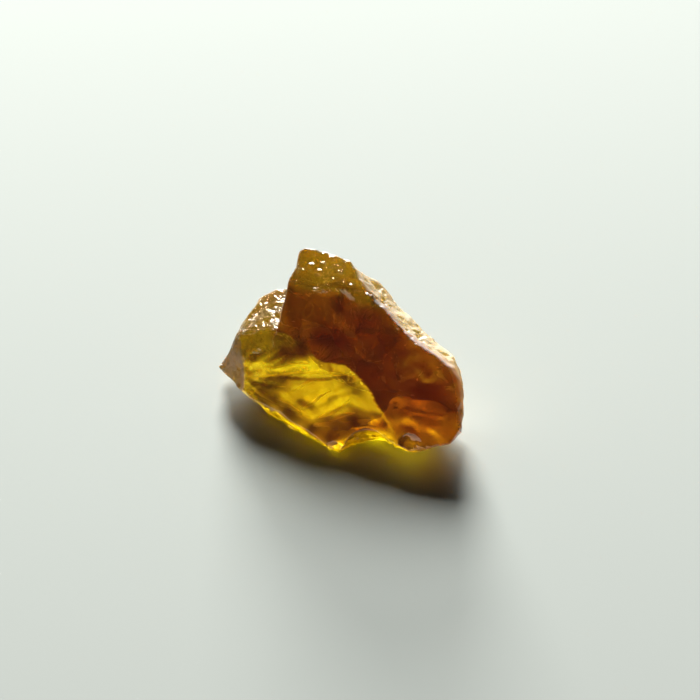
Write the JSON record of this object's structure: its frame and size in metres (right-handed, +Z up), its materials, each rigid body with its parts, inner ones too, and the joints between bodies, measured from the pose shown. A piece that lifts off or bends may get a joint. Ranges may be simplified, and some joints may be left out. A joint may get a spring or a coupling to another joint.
{
  "type": "rough diamond",
  "caption": "Rough yellow-brown diamond crystal with glossy broken faces, a shell-shaped hollow, an etched skin and a flat face to rest on.",
  "frame": {"origin": "middle of the stone's box, on the face it rests on", "axes": "+Z up from the resting face; +X along the long crest, towards the rounded right lobe; +Y towards the back of the stone"},
  "size_m": [0.0082, 0.007, 0.0047],
  "materials": {
    "crystal": "clear brownish yellow, glossy on the broken faces, frosted and iron-stained on the natural skin"
  },
  "bodies": {
    "root": {"rough_crystal": "crystal"}
  },
  "joints": []
}
